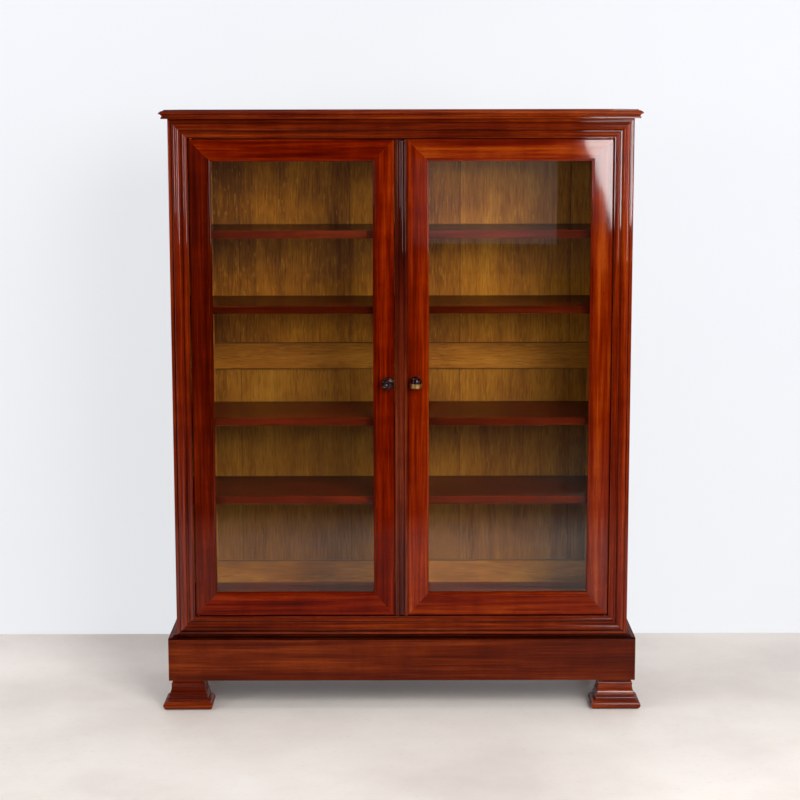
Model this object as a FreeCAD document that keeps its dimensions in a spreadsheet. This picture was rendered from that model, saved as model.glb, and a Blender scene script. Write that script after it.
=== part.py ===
"""A glazed two-door bookcase in polished mahogany, as a parametric FreeCAD document in millimetres.

X runs from the left side to the right, Y from the front to the back and Z up. The origin lies on the floor,
under the middle of the bookcase. Left and right are those of someone who stands in front of it.
"""

import FreeCAD
import Part
import math
import os
import Sketcher
from FreeCAD import Placement, Rotation, Vector

doc = FreeCAD.newDocument("bookcase")

# Driving dimensions ------------------------------------------------------------------------------------

SIZES = {
    # Case
    "case_width": 1218,
    "case_depth": 360,
    "case_height": 1383,
    "side_thickness": 22,
    "ceiling_thickness": 20,
    "floor_thickness": 22,
    "stop_lap": 10,  # how far floor and ceiling lap behind the doors, which stop against them
    "stop_clearance": 1.4,  # room for the doors' back corners, which swing past the stops
    # Moulded frame on the front of the case; "rise" is how far a member stands out of the door's plane
    "frame_width": 50,
    "outer_band": 8,
    "outer_band_rise": 8,
    "outer_band_round": 3,
    "outer_quirk": 2,
    "quirk_rise": 4,
    "torus_foot": 7,
    "torus_rise": 9,
    "inner_quirk": 4,
    "bead_width": 13,
    "bead_foot": 5,
    "bead_rise": 5,
    "inner_flat": 2,
    # Moulded top board
    "cornice_thickness": 23.5,
    "cornice_overhang": 22,
    "cornice_fillet": 2.5,
    "cornice_ovolo_reach": 12.4,
    "cornice_ovolo_drop": 7,
    "cornice_ovolo_rise": 2,
    "cornice_tip": 1.5,
    "cornice_cove_reach": 8.5,
    "cornice_cove_drop": 6,
    "cornice_cove_depth": 1.6,
    "cornice_band_reach": 2.6,
    "cornice_band_drop": 2.5,
    # Plinth, its moulded ledge and the feet
    "plinth_height": 113,
    "plinth_thickness": 22,
    "plinth_overhang": 22.5,
    "ledge_height": 11,
    "ledge_width": 60,
    "ledge_nose": 4.5,
    "ledge_cove": 12.5,
    "ledge_cove_depth": 1.2,
    "ledge_step": 3,
    "foot_height": 79,
    "foot_block": 91,
    "foot_depth": 70,
    "foot_inset": 6.5,
    "foot_fillet": 6,
    "foot_fillet_depth": 4,
    "foot_shoulder": 7,
    "foot_shoulder_rise": 1.6,
    "foot_neck": 23,
    "foot_neck_flare": 3,
    "foot_neck_hollow": 1,
    "foot_bead": 6,
    "foot_bead_reach": 3.5,
    "foot_bead_rise": 1.4,
    "foot_quirk": 3,
    "foot_quirk_depth": 1.5,
    "foot_step_reach": 9.5,
    "foot_step_rise": 1.6,
    "foot_pad_top": 27,
    "foot_pad_height": 24,
    "foot_pad_reach": 10,
    "foot_pad_rise": 11,
    # Framed back
    "back_thickness": 20,
    "back_panel_thickness": 8,
    "back_panel_setback": 6,
    "groove_depth": 8,
    "panel_clearance": 0.5,
    "back_stile": 60,
    "back_top_rail": 86,
    "back_middle_rail": 76,
    "back_middle_height": 882,  # underside of the middle rail above the floor
    "back_bottom_rail": 125,
    # Doors
    "door_thickness": 24,
    "side_gap": 2,
    "top_gap": 3,
    "bottom_gap": 2,
    "meeting_gap": 2,
    "hanging_stile": 58,
    "meeting_stile": 57,
    "door_top_rail": 58,
    "door_bottom_rail": 62,
    "door_edge_round": 3,
    "sight_bead": 8,
    "sight_quirk": 1.5,
    "sight_bead_drop": 5.5,
    "sight_bead_rise": 2.2,
    "rebate_width": 10,
    "rebate_lip": 10,
    "glass_thickness": 3,
    "glass_clearance": 1.5,
    "glazing_bead": 9,
    "glazing_bead_edge": 3,
    "glazing_bead_rise": 1.8,
    # Pivots at the top and bottom of each door
    "pivot_inset": 6,
    "pivot_radius": 2.5,
    "pivot_clearance": 0.08,
    "pivot_reach": 13,
    "pivot_end_play": 1,
    "pivot_plate_start": 3,
    "pivot_plate": 38,
    "pivot_plate_width": 6,
    "pivot_plate_thickness": 2.5,
    # Closing strip between the doors
    "astragal_width": 32,
    "astragal_fillet": 4,
    "astragal_fillet_rise": 4,
    "astragal_reed": 5,
    "astragal_reed_foot": 5,
    "astragal_reed_rise": 2.2,
    "astragal_torus_foot": 6,
    "astragal_torus_rise": 5.4,
    "astragal_end_round": 9,
    # Pull knob of the left door
    "knob_raise": 6,  # above the turn knob's axis
    "knob_inset": 18,
    "knob_radius": 17.5,
    "knob_rose_radius": 12,
    "knob_rose": 3,
    "knob_neck_radius": 7,
    "knob_neck": 13,
    "knob_rim": 12,
    "knob_dish_radius": 12.5,
    "knob_dish": 4.5,
    "knob_tenon": 20,
    "knob_tenon_radius": 5,
    "knob_tenon_clearance": 0.05,
    # Turn knob of the right door
    "turn_height": 885,
    "turn_inset": 22,
    "turn_standoff": 20.5,
    "turn_radius": 16,
    "ferrule_height": 14,
    "ferrule_bevel": 2,
    "ferrule_groove": 1.2,
    "dome_height": 18.5,
    "dome_foot": 3,
    "dome_inset": 0.5,
    "spindle_radius": 3.5,
    "spindle_clearance": 0.05,
    "spindle_collar_radius": 7,
    "spindle_collar": 2.5,
    # Lock behind the right door and its keeper behind the left one
    "lock_width": 72,
    "lock_height": 56,
    "lock_depth": 12,
    "lock_wall": 1.5,
    "lock_setback": 6,
    "lock_play": 0.5,
    "crank_radius": 9.9,
    "crank_pin_radius": 2,
    "crank_rim": 1.5,
    "crank_disc": 3,
    "bolt_rise": 4.2,  # underside of the bolt above the spindle's axis
    "bolt_height": 14,
    "bolt_thickness": 5,
    "bolt_tail": 5,
    "bolt_notch": 5.2,
    "bolt_notch_height": 8.3,
    "bolt_tip": 1,
    "lock_throw": 14,
    "keeper_wall": 2,
    "keeper_setback": 2,
    "keeper_play": 0.8,
    # Surface bolts at the top and bottom of the left door
    "rod_radius": 4,
    "rod_length": 120,
    "rod_clearance": 0.3,
    "rod_throw": 12,
    "rod_tip_gap": 2,
    "rod_inset": 28,
    "rod_stem": 7,
    "rod_stem_radius": 3.5,
    "guide_width": 20,
    "guide_length": 100,
    "guide_start": 14,
    "guide_thickness": 2,
    "guide_lug": 8,
    "guide_lug_depth": 11,
    "rod_standoff": 7.5,
    # Shelves on toothed racks
    "shelf_thickness": 20.5,
    "shelf_setback": 40,
    "shelf_end_clearance": 1,
    "shelf_back_clearance": 1.5,
    "rack_setback": 32,
    "rack_width": 28,
    "rack_thickness": 10,
    "rack_clearance": 1,
    "tooth_pitch": 14.35,
    "tooth_depth": 7,
    "first_seat": 5,
    "cleat_width": 20,
    "cleat_height": 13.5,
    "cleat_clearance": 0.3,
}

# The teeth that the shelves' cleats lie on, counted from the bottom of a rack.
SEATS = {
    "shelf_1": 69,
    "shelf_2": 55,
    "shelf_3": 34,
    "shelf_4": 19,
}

# Places that follow from them: planes, levels and sums that more than one piece is built to.
PLACES = {
    # Along X, from the middle
    "case_half": "Sizes.case_width / 2",
    "inner_half": "case_half - Sizes.side_thickness",
    "opening_half": "case_half - Sizes.frame_width",
    "door_half": "opening_half - Sizes.side_gap",
    "plinth_half": "case_half + Sizes.plinth_overhang",
    "foot_offset": "plinth_half - Sizes.foot_inset - Sizes.foot_block / 2",
    "astragal_half": "Sizes.astragal_width / 2",
    "left_leaf_edge": "-astragal_half - Sizes.meeting_gap",
    "pivot_offset": "door_half - Sizes.pivot_inset",
    "turn_x": "astragal_half + Sizes.turn_inset",
    "rod_x": "left_leaf_edge - Sizes.rod_inset",
    "rack_inner": "inner_half - Sizes.rack_thickness",
    # Along Y; the front plane is that of the doors' faces
    "foot_reach": "Sizes.foot_pad_reach + Sizes.foot_pad_rise",
    "front_reach": "Sizes.plinth_overhang - Sizes.foot_inset + foot_reach",
    "front": "(front_reach - Sizes.case_depth) / 2",
    "back": "front + Sizes.case_depth",
    "frame_depth": "Sizes.door_thickness + Sizes.stop_clearance",
    "stop_plane": "front + frame_depth",
    "door_back": "front + Sizes.door_thickness",
    "back_front": "back - Sizes.back_thickness",
    "plinth_front": "front - Sizes.plinth_overhang",
    "pivot_y": "front + Sizes.pivot_inset",
    "rod_y": "door_back + Sizes.rod_standoff",
    "front_rack_edge": "front + Sizes.rack_setback + Sizes.rack_width",
    "back_rack_edge": "back_front - Sizes.rack_width",
    # Along Z, from the floor
    "plinth_top": "Sizes.foot_height + Sizes.plinth_height",
    "case_bottom": "plinth_top + Sizes.ledge_height",
    "case_top": "case_bottom + Sizes.case_height",
    "opening_bottom": "case_bottom + Sizes.frame_width",
    "opening_top": "case_top - Sizes.frame_width",
    "floor_top": "opening_bottom + Sizes.stop_lap",
    "ceiling_bottom": "opening_top - Sizes.stop_lap",
    "door_bottom": "opening_bottom + Sizes.bottom_gap",
    "door_top": "opening_top - Sizes.top_gap",
    "door_height": "door_top - door_bottom",
    "door_middle": "(door_top + door_bottom) / 2",
    # Lock
    "crank_offset": "Sizes.crank_radius / sqrt(2)",
    "bolt_y": "door_back + Sizes.lock_wall",
    "lock_left": "-astragal_half + Sizes.lock_setback",
    "knob_height": "Sizes.turn_height + Sizes.knob_raise",
    "lock_bottom": "Sizes.turn_height - Sizes.lock_height / 2",
    "bolt_bottom": "Sizes.turn_height + Sizes.bolt_rise",
}


def fill(name, rows):
    """A spreadsheet with one row for each value: its alias in column A, the value itself in column B."""
    sheet = doc.addObject("Spreadsheet::Sheet", name)
    for row, (alias, value) in enumerate(rows.items(), start=1):
        sheet.set(f"A{row}", alias)
        sheet.set(f"B{row}", str(value))
        sheet.setAlias(f"B{row}", alias)
    doc.recompute()
    return sheet


sizes = fill("Sizes", SIZES)
seats = fill("Seats", SEATS)
places = fill("Places", {alias: "=" + formula for alias, formula in PLACES.items()})


def value(expression):
    """What an expression of sheet aliases comes to now, in millimetres."""
    return float(sizes.evalExpression(expression))


# Ways to build -----------------------------------------------------------------------------------------

parts = []

# How a member that is drawn lying along X, its outer edge down and its face to the front, is turned.
LYING = Rotation()
LEFT_UPRIGHT = Rotation(Vector(0, 1, 0), 90)
HANGING = Rotation(Vector(0, 1, 0), 180)
RIGHT_UPRIGHT = Rotation(Vector(0, 1, 0), -90)
FRONT_EDGE_DOWN = Rotation(Vector(1, 0, 0), -90)
LEFT_EDGE_DOWN = Rotation(Vector(0, -1, 0), Vector(0, 0, -1), Vector(1, 0, 0), "ZXY")
RIGHT_EDGE_DOWN = Rotation(Vector(0, 1, 0), Vector(0, 0, -1), Vector(-1, 0, 0), "ZXY")
FORWARDS = Rotation(Vector(1, 0, 0), 90)
BACKWARDS = Rotation(Vector(1, 0, 0), -90)


def place(piece, x, y, z, rotation=LYING):
    """Puts a piece's own origin at three expressions."""
    piece.Placement = Placement(Vector(), rotation)
    for axis, expression in zip("xyz", (x, y, z)):
        piece.setExpression(f"Placement.Base.{axis}", expression)
    return piece


def finish(piece, label):
    """Labels a piece and counts it as one of the bookcase's parts."""
    piece.Label = label
    parts.append(piece)
    return piece


def set_sizes(feature, **expressions):
    for name, expression in expressions.items():
        feature.setExpression(name, expression)
    return feature


def arc(start, end, rise):
    """The arc between two points that stands `rise` to the left of the line from start to end."""
    chord = end - start
    left = Vector(-chord.y, chord.x, 0).normalize()
    radius = chord.Length**2 / (8 * abs(rise)) + abs(rise) / 2
    centre = (start + end) / 2 + left * (rise - radius * (1 if rise > 0 else -1))
    first, last = (end, start) if rise > 0 else (start, end)
    angles = []
    for spoke in (first - centre, last - centre):
        angles.append(spoke.getAngle(Vector(1, 0, 0)) * (1 if spoke.y >= 0 else -1))
    return Part.ArcOfCircle(Part.Circle(centre, Vector(0, 0, 1), radius), *angles)


def sketch(body, plane, *loops):
    """A sketch of closed loops on one of a body's origin planes, every point bound to the sheets.

    A loop lists its corners clockwise as (x, y) expressions. A third expression makes the edge that
    leads to the corner an arc that bulges outwards by that much, or inwards where it is negative.
    """
    drawing = body.newObject("Sketcher::SketchObject", "Sketch")
    origin = [item for item in body.Origin.OriginFeatures if item.Role == plane]
    drawing.AttachmentSupport = (origin[0], [""])
    drawing.MapMode = "FlatFace"
    geometry = []
    constraints = []
    bindings = []

    def bind(constraint, expression):
        constraints.append(constraint)
        bindings.append((len(constraints) - 1, expression))

    for loop in loops:
        corners = [Vector(value(x), value(y), 0) for x, y, *_ in loop]
        first = len(geometry)
        ends = []
        for number, (x, y, *rise) in enumerate(loop):
            before = corners[number - 1]
            here = corners[number]
            edge = first + number
            if rise:
                geometry.append(arc(before, here, value(rise[0])))
                ends.append((2, 1) if value(rise[0]) > 0 else (1, 2))
            else:
                geometry.append(Part.LineSegment(before, here))
                ends.append((1, 2))
            bind(Sketcher.Constraint("DistanceX", -1, 1, edge, ends[-1][1], here.x), x)
            bind(Sketcher.Constraint("DistanceY", -1, 1, edge, ends[-1][1], here.y), y)
            if rise:
                last_x, last_y = loop[number - 1][:2]
                chord = f"(({x}) - ({last_x})) ^ 2 + (({y}) - ({last_y})) ^ 2"
                radius = f"({chord}) / (8 * abs({rise[0]})) + abs({rise[0]}) / 2"
                bind(Sketcher.Constraint("Radius", edge, value(radius)), radius)
        for number in range(len(loop)):
            after = (number + 1) % len(loop)
            pair = (first + number, ends[number][1], first + after, ends[after][0])
            constraints.append(Sketcher.Constraint("Coincident", *pair))
    drawing.addGeometry(geometry, False)
    drawing.addConstraint(constraints)
    for index, expression in bindings:
        drawing.renameConstraint(index, f"size{index}")
        drawing.setExpression(f"Constraints.size{index}", expression)
    return drawing


def other_side(path):
    """A run of corners mirrored in the sketch's vertical axis, and walked the other way."""
    run = []
    for number, (x, y, *_) in enumerate(reversed(path)):
        rise = path[len(path) - number][2:] if number else ()
        run.append((f"-({x})", y, *rise))
    return run


def extrude(body, plane, loop, length):
    """Pads a loop to both sides of its plane."""
    pad = body.newObject("PartDesign::Pad", "Pad")
    pad.Profile = sketch(body, plane, loop)
    pad.SideType = "Symmetric"
    return set_sizes(pad, Length=length)


def new_body(name):
    return doc.addObject("PartDesign::Body", name)


def solid(label, plane, loop, length):
    body = new_body(label)
    extrude(body, plane, loop, length)
    return body


def stick(label, section, length, width="0", mitres=("0", "0")):
    """A member along X: a section of (Y, Z) corners, and at its two ends a mitre of that length."""
    body = solid(label, "YZ_Plane", section, length)
    cuts = []
    for side, run in zip(("-", ""), mitres):
        if run != "0":
            end = f"{side}({length}) / 2"
            inner = f"{side}(({length}) / 2 - {run})"
            corners = [(end, "0"), (inner, width), (end, width)]
            cuts.append(corners)
    if cuts:
        pocket = body.newObject("PartDesign::Pocket", "Mitres")
        pocket.Profile = sketch(body, "XZ_Plane", *cuts)
        pocket.SideType = "Symmetric"
        set_sizes(pocket, Length="Sizes.case_depth")
    return body


def mitred_frame(names, section, box, widths, y):
    """Left, right, top and bottom members, mitred where they meet, that fill the edges of a rectangle."""
    left, right, bottom, top = box
    left_width, right_width, bottom_width, top_width = widths
    height = f"({top} - ({bottom}))"
    breadth = f"({right} - ({left}))"
    middle_x = f"({left} + {right}) / 2"
    middle_z = f"({top} + {bottom}) / 2"
    members = [
        (height, left_width, (top_width, bottom_width), left, middle_z, LEFT_UPRIGHT),
        (height, right_width, (bottom_width, top_width), right, middle_z, RIGHT_UPRIGHT),
        (breadth, top_width, (right_width, left_width), middle_x, top, HANGING),
        (breadth, bottom_width, (left_width, right_width), middle_x, bottom, LYING),
    ]
    bodies = []
    for name, (length, width, mitres, x, z, turn) in zip(names, members):
        body = stick(name, section(width), length, width, mitres)
        bodies.append(place(body, x, y, z, turn))
    return bodies


def block(feature_type, body, low, size):
    """Adds a square block to a body, or takes it away, from its low corner and its three sizes."""
    feature = body.newObject(f"PartDesign::{feature_type}Box", "Block")
    place(feature, *low)
    return set_sizes(feature, Length=size[0], Width=size[1], Height=size[2])


def rod(feature_type, body, centre, radius, length, rotation=LYING):
    """Adds a round rod to a body, or bores it away, upwards from a centre unless it is turned."""
    feature = body.newObject(f"PartDesign::{feature_type}Cylinder", "Rod")
    place(feature, *centre, rotation)
    return set_sizes(feature, Radius=radius, Height=length)


def board(label, low, size):
    """A square-edged board, as a part of its own."""
    box = doc.addObject("Part::Box", label)
    set_sizes(box, Length=size[0], Width=size[1], Height=size[2])
    return finish(place(box, *low), label)


def crossed(label, across, along, depth, breadth):
    """What two extrusions have in common: `across` is seen from the front, `along` from the right side."""
    front_view = solid(f"{label}_front", "XZ_Plane", across, depth)
    side_view = solid(f"{label}_side", "YZ_Plane", along, breadth)
    common = doc.addObject("Part::Common", label)
    common.Base = front_view
    common.Tool = side_view
    return common


def turned(body, profile):
    """Revolves a loop of (radius, height) corners about Z."""
    turning = body.newObject("PartDesign::Revolution", "Turning")
    turning.Profile = sketch(body, "XZ_Plane", profile)
    turning.ReferenceAxis = (turning.Profile[0], ["V_Axis"])
    turning.Angle = 360
    return turning


def rounded(x, z, reach, rise, first, last, bands):
    """Corners along a quarter or half of an ellipse round (x, z), from one angle to another in degrees."""
    corners = []
    for band in range(bands + 1):
        angle = math.radians(first + (last - first) * band / bands)
        corner_x = f"{x} + {math.cos(angle):.6f} * {reach}"
        corners.append((corner_x, f"{z} + {math.sin(angle):.6f} * {rise}"))
    return corners


def group(label, members):
    """Separate solids that share one name."""
    compound = doc.addObject("Part::Compound", label)
    compound.Links = members
    return finish(compound, label)


# Case --------------------------------------------------------------------------------------------------


def frame_section(width):
    """Front frame: rounded outer band, quirk, wide torus, quirk, bead, and a flat next to the door."""
    torus_start = "Sizes.outer_band + Sizes.outer_quirk"
    bead_end = f"{width} - Sizes.inner_flat"
    bead_start = f"{bead_end} - Sizes.bead_width"
    torus_end = f"{bead_start} - Sizes.inner_quirk"
    round_rise = "Sizes.outer_band_round * (1 - sqrt(0.5))"
    return [
        ("Places.frame_depth", "0"),
        ("Sizes.outer_band_round - Sizes.outer_band_rise", "0"),
        ("-Sizes.outer_band_rise", "Sizes.outer_band_round", round_rise),
        ("-Sizes.outer_band_rise", "Sizes.outer_band"),
        ("-Sizes.quirk_rise", "Sizes.outer_band"),
        ("-Sizes.quirk_rise", torus_start),
        ("-Sizes.torus_foot", torus_start),
        ("-Sizes.torus_foot", torus_end, "Sizes.torus_rise"),
        ("-Sizes.quirk_rise", torus_end),
        ("-Sizes.quirk_rise", bead_start),
        ("-Sizes.bead_foot", bead_start),
        ("-Sizes.bead_foot", bead_end, "Sizes.bead_rise"),
        ("-Sizes.bead_foot", width),
        ("Places.frame_depth", width),
    ]


def front_frame():
    names = ("frame_left", "frame_right", "frame_head", "frame_sill")
    box = ("-Places.case_half", "Places.case_half", "Places.case_bottom", "Places.case_top")
    bodies = mitred_frame(names, frame_section, box, ["Sizes.frame_width"] * 4, "Places.front")
    for name, body in zip(names, bodies):
        finish(body, name)
    for body, gap in zip(bodies[2:], ("Sizes.top_gap", "Sizes.bottom_gap")):
        depth = f"Sizes.pivot_reach - {gap} + Sizes.pivot_end_play"
        for side in ("-", ""):
            foot = (f"{side}Places.pivot_offset", "Sizes.pivot_inset", f"Sizes.frame_width - ({depth})")
            rod("Subtractive", body, foot, "Sizes.pivot_radius + Sizes.pivot_clearance", depth)


def case_boards():
    side_low = ("Places.stop_plane", "Places.case_bottom")
    side_size = ("Sizes.side_thickness", "Places.back - Places.stop_plane", "Sizes.case_height")
    board("side_left", ("-Places.case_half", *side_low), side_size)
    board("side_right", ("Places.inner_half", *side_low), side_size)
    depth = "Places.back_front - Places.stop_plane"
    boards = (
        ("ceiling_board", "Places.ceiling_bottom", "Sizes.ceiling_thickness", "0"),
        ("floor_board", "Places.floor_top - Sizes.floor_thickness", "Sizes.floor_thickness", "1"),
    )
    for label, bottom, thickness, is_floor in boards:
        body = new_body(label)
        corner = ("-Places.inner_half", "Places.stop_plane", bottom)
        block("Additive", body, corner, ("2 * Places.inner_half", depth, thickness))
        bore_depth = "Sizes.rod_throw"
        bore_bottom = f"{bottom} + {is_floor} * (Sizes.floor_thickness - {bore_depth})"
        centre = ("Places.rod_x", "Places.rod_y", bore_bottom)
        rod("Subtractive", body, centre, "Sizes.rod_radius + 2 * Sizes.rod_clearance", bore_depth)
        finish(body, label)


def cornice_edge(reach):
    """Down the edge of the top board: fillet, ovolo out to the tip, cove back, and a lower band."""
    top = "Sizes.cornice_thickness"
    tip_top = f"{top} - Sizes.cornice_fillet - Sizes.cornice_ovolo_drop"
    tip_bottom = f"{tip_top} - Sizes.cornice_tip"
    cove_bottom = f"{tip_bottom} - Sizes.cornice_cove_drop"
    band = f"{reach} - Sizes.cornice_cove_reach + Sizes.cornice_band_reach"
    return [
        (f"{reach} - Sizes.cornice_ovolo_reach", top),
        (f"{reach} - Sizes.cornice_ovolo_reach", f"{top} - Sizes.cornice_fillet"),
        (reach, tip_top, "Sizes.cornice_ovolo_rise"),
        (reach, tip_bottom),
        (f"{reach} - Sizes.cornice_cove_reach", cove_bottom, "-Sizes.cornice_cove_depth"),
        (band, f"{cove_bottom} - Sizes.cornice_band_drop"),
        (band, "0"),
    ]


def cornice():
    half = "(Places.case_half + Sizes.cornice_overhang)"
    deep = "(Sizes.case_depth + Sizes.cornice_overhang)"
    across = cornice_edge(half)
    flat_backed = [("0", "Sizes.cornice_thickness"), ("0", "0"), *other_side(cornice_edge(deep))]
    top = crossed("cornice", across + other_side(across), flat_backed, f"2 * {deep}", f"2 * {half}")
    finish(place(top, "0", "Places.back", "Places.case_top"), "cornice")


def back_section(width, lower, upper):
    """A member of the framed back, with a groove for a panel in its lower or its upper edge."""
    front = "Sizes.back_panel_setback"
    rear = "Sizes.back_panel_setback + Sizes.back_panel_thickness"
    depth = "Sizes.back_thickness"
    corners = [(depth, "0")]
    if lower:
        corners += [(rear, "0"), (rear, "Sizes.groove_depth"), (front, "Sizes.groove_depth"), (front, "0")]
    corners += [("0", "0"), ("0", width)]
    if upper:
        groove = f"{width} - Sizes.groove_depth"
        corners += [(front, width), (front, groove), (rear, groove), (rear, width)]
    return corners + [(depth, width)]


def framed_back():
    stile_half = "(Places.inner_half - Sizes.back_stile)"
    bottom_top = "(Places.case_bottom + Sizes.back_bottom_rail)"
    middle_top = "(Sizes.back_middle_height + Sizes.back_middle_rail)"
    top_bottom = "(Places.case_top - Sizes.back_top_rail)"
    middle = "(Places.case_top + Places.case_bottom) / 2"
    stiles = (
        ("back_stile_left", "-Places.inner_half", LEFT_UPRIGHT),
        ("back_stile_right", "Places.inner_half", RIGHT_UPRIGHT),
    )
    for label, x, turn in stiles:
        body = stick(label, back_section("Sizes.back_stile", False, True), "Sizes.case_height")
        finish(place(body, x, "Places.back_front", middle, turn), label)
    rails = (
        ("back_rail_top", "Sizes.back_top_rail", top_bottom, True, False),
        ("back_rail_middle", "Sizes.back_middle_rail", "Sizes.back_middle_height", True, True),
        ("back_rail_bottom", "Sizes.back_bottom_rail", "Places.case_bottom", False, True),
    )
    groove = "Sizes.groove_depth"
    for label, width, z, lower, upper in rails:
        body = stick(label, back_section(width, lower, upper), f"2 * {stile_half}")
        low = groove if lower else "0"
        tenon_height = f"{width} - {low} - {groove if upper else '0'}"
        for x in (f"-{stile_half} - {groove}", stile_half):
            corner = (x, "Sizes.back_panel_setback", low)
            block("Additive", body, corner, (groove, "Sizes.back_panel_thickness", tenon_height))
        finish(place(body, "0", "Places.back_front", z), label)
    panels = (
        ("back_panel_upper", middle_top, top_bottom),
        ("back_panel_lower", bottom_top, "Sizes.back_middle_height"),
    )
    tongue = "(Sizes.groove_depth - Sizes.panel_clearance)"
    front = "Places.back_front + Sizes.back_panel_setback"
    breadth = f"2 * ({stile_half} + {tongue})"
    for label, low, high in panels:
        corner = (f"-{stile_half} - {tongue}", front, f"{low} - {tongue}")
        board(label, corner, (breadth, "Sizes.back_panel_thickness", f"{high} - {low} + 2 * {tongue}"))


# Base --------------------------------------------------------------------------------------------------


def base_ring(prefix, section, width, z):
    """Front, left and right members of the base, mitred at the two front corners.

    Each is drawn with its outer face down, so its height runs along -Y.
    """
    reach = "Places.plinth_half"
    depth = "(Places.back - Places.plinth_front)"
    middle_y = "(Places.back + Places.plinth_front) / 2"
    members = (
        ("front", f"2 * {reach}", (width, width), "0", "Places.plinth_front", FRONT_EDGE_DOWN),
        ("left", depth, ("0", width), f"-{reach}", middle_y, LEFT_EDGE_DOWN),
        ("right", depth, (width, "0"), reach, middle_y, RIGHT_EDGE_DOWN),
    )
    for name, length, mitres, x, y, turn in members:
        body = stick(f"{prefix}_{name}", section, length, width, mitres)
        finish(place(body, x, y, z, turn), f"{prefix}_{name}")


def plinth():
    thickness = "Sizes.plinth_thickness"
    height = "Sizes.plinth_height"
    section = [("0", "0"), (f"-{height}", "0"), (f"-{height}", thickness), ("0", thickness)]
    base_ring("plinth", section, thickness, "Sizes.foot_height")


def ledge():
    """Nosing, cove and a small step under the case; the flat part behind them carries the case."""
    height = "Sizes.ledge_height"
    width = "Sizes.ledge_width"
    step = f"-({height} - Sizes.ledge_step)"
    section = [
        ("0", "0"),
        ("-Sizes.ledge_nose", "0"),
        (step, "Sizes.ledge_cove", "-Sizes.ledge_cove_depth"),
        (f"-{height}", "Sizes.ledge_cove"),
        (f"-{height}", width),
        ("0", width),
    ]
    base_ring("ledge", section, width, "Places.plinth_top")


def foot_edge(reach):
    """Down one side of a foot: fillet, shoulder, hollow neck, two beads and a rounded pad."""
    fillet = f"({reach} - Sizes.foot_fillet_depth)"
    shoulder_top = "(Sizes.foot_height - Sizes.foot_fillet)"
    shoulder = f"({shoulder_top} - Sizes.foot_shoulder)"
    neck = f"({shoulder} - Sizes.foot_neck)"
    neck_reach = f"({reach} + Sizes.foot_neck_flare)"
    bead = f"({neck} - Sizes.foot_bead)"
    bead_reach = f"({neck_reach} + Sizes.foot_bead_reach)"
    quirk_reach = f"({bead_reach} - Sizes.foot_quirk_depth)"
    step_reach = f"({reach} + Sizes.foot_step_reach)"
    inner_quirk = f"({step_reach} - Sizes.foot_quirk_depth)"
    pad_reach = f"({reach} + Sizes.foot_pad_reach)"
    return [
        (fillet, "Sizes.foot_height"),
        (fillet, shoulder_top),
        (reach, shoulder, "Sizes.foot_shoulder_rise"),
        (neck_reach, neck, "-Sizes.foot_neck_hollow"),
        (bead_reach, bead, "Sizes.foot_bead_rise"),
        (quirk_reach, bead),
        (quirk_reach, f"{bead} - Sizes.foot_quirk"),
        (step_reach, "Sizes.foot_pad_top", "Sizes.foot_step_rise"),
        (inner_quirk, "Sizes.foot_pad_top"),
        (inner_quirk, "Sizes.foot_pad_height"),
        (pad_reach, "Sizes.foot_pad_height"),
        (pad_reach, "0", "Sizes.foot_pad_rise"),
    ]


def feet():
    """Four feet, moulded on the front and both sides, and flat behind."""
    half_depth = "Sizes.foot_depth / 2"
    breadth = "(Sizes.foot_block + 3 * Places.foot_reach)"
    moulded = foot_edge("Sizes.foot_block / 2")
    across = moulded + other_side(moulded)
    behind = [(half_depth, "Sizes.foot_height"), (half_depth, "0")]
    along = behind + other_side(foot_edge(half_depth))
    rows = (
        ("front", f"Places.plinth_front + Sizes.foot_inset + {half_depth}"),
        ("back", f"Places.back - {half_depth}"),
    )
    for row, y in rows:
        for side, sign in (("left", "-"), ("right", "")):
            label = f"foot_{row}_{side}"
            foot = crossed(label, across, along, breadth, breadth)
            finish(place(foot, f"{sign}Places.foot_offset", y, "0"), label)


# Shelves -----------------------------------------------------------------------------------------------


def seat_level(shelf):
    return f"(Places.floor_top + Sizes.first_seat + Seats.{shelf} * Sizes.tooth_pitch)"


def racks():
    """Four toothed strips in the corners; the front pair's teeth look back, the back pair's forwards."""
    length = "(Places.ceiling_bottom - Places.floor_top)"
    half = "Sizes.rack_width / 2"
    strip = [(f"-{half}", "0"), (f"-{half}", length), (half, length), (half, "0")]
    notch = [
        (half, "Sizes.first_seat"),
        (f"{half} - Sizes.tooth_depth", "Sizes.first_seat"),
        (half, "Sizes.first_seat + Sizes.tooth_pitch"),
    ]
    rows = (
        ("front", f"Places.front_rack_edge - {half}", LYING),
        ("back", f"Places.back_rack_edge + {half}", Rotation(Vector(0, 0, 1), 180)),
    )
    for row, y, turn in rows:
        for side, sign in (("left", "-"), ("right", "")):
            label = f"rack_{row}_{side}"
            body = solid(label, "YZ_Plane", strip, "Sizes.rack_thickness")
            pocket = body.newObject("PartDesign::Pocket", "Notch")
            pocket.Profile = sketch(body, "YZ_Plane", notch)
            pocket.SideType = "Symmetric"
            pocket.Type = "ThroughAll"
            teeth = body.newObject("PartDesign::LinearPattern", "Teeth")
            teeth.Originals = [pocket]
            teeth.Direction = (pocket.Profile[0], ["V_Axis"])
            teeth.Mode = "Spacing"
            count = f"floor(({length} - Sizes.first_seat) / Sizes.tooth_pitch)"
            set_sizes(teeth, Offset="Sizes.tooth_pitch", Occurrences=count)
            body.Tip = teeth
            x = f"{sign}(Places.inner_half - Sizes.rack_thickness / 2)"
            finish(place(body, x, y, "Places.floor_top", turn), label)


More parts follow.
